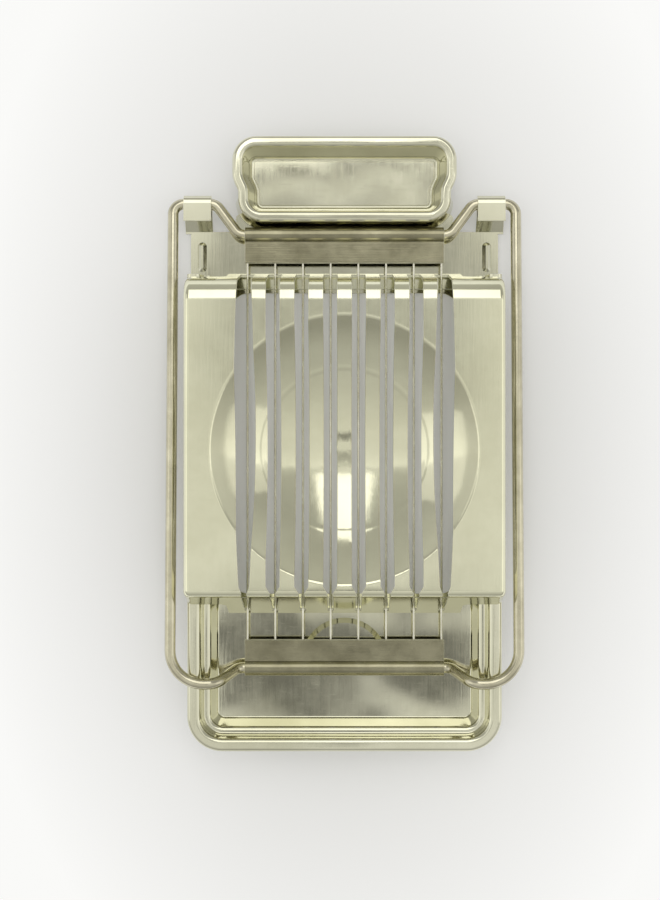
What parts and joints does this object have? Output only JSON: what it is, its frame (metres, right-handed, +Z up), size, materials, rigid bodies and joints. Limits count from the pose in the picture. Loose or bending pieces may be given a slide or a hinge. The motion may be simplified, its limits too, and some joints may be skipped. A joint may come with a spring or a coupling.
{
  "type": "egg slicer",
  "caption": "Stamped steel egg slicer: a dished, slotted egg rest on a low tray, with a hinged wire frame whose cutting wires drop through the slots.",
  "frame": {"origin": "centre of the bounding box in plan, on the table under the floor of the base", "axes": "X across, positive to the right; Y along the wires, positive towards the hinge and the rear pan; Z up"},
  "size_m": [0.0752, 0.13, 0.0173],
  "materials": {
    "tray_steel": "polished stainless sheet, finely scratched",
    "rest_steel": "polished stainless sheet, bright cut edges",
    "frame_wire": "bright drawn wire",
    "holder_steel": "dull satin strip",
    "cutting_wire": "fine bright wire"
  },
  "bodies": {
    "base": {"base_tray": "tray_steel", "egg_rest": "rest_steel"},
    "cutter": {"cutter_frame": "frame_wire", "front_wire_holder": "holder_steel", "rear_wire_holder": "holder_steel", "cutting_wire_1": "cutting_wire", "cutting_wire_2": "cutting_wire", "cutting_wire_3": "cutting_wire", "cutting_wire_4": "cutting_wire", "cutting_wire_5": "cutting_wire", "cutting_wire_6": "cutting_wire", "cutting_wire_7": "cutting_wire", "cutting_wire_8": "cutting_wire"}
  },
  "joints": [
    {"name": "cutter_hinge", "type": "hinge", "parent": "base", "child": "cutter", "pos_m": [0, 0.0508, 0.004], "axis": [-1, 0, 0], "range_deg": [0, 125]}
  ]
}
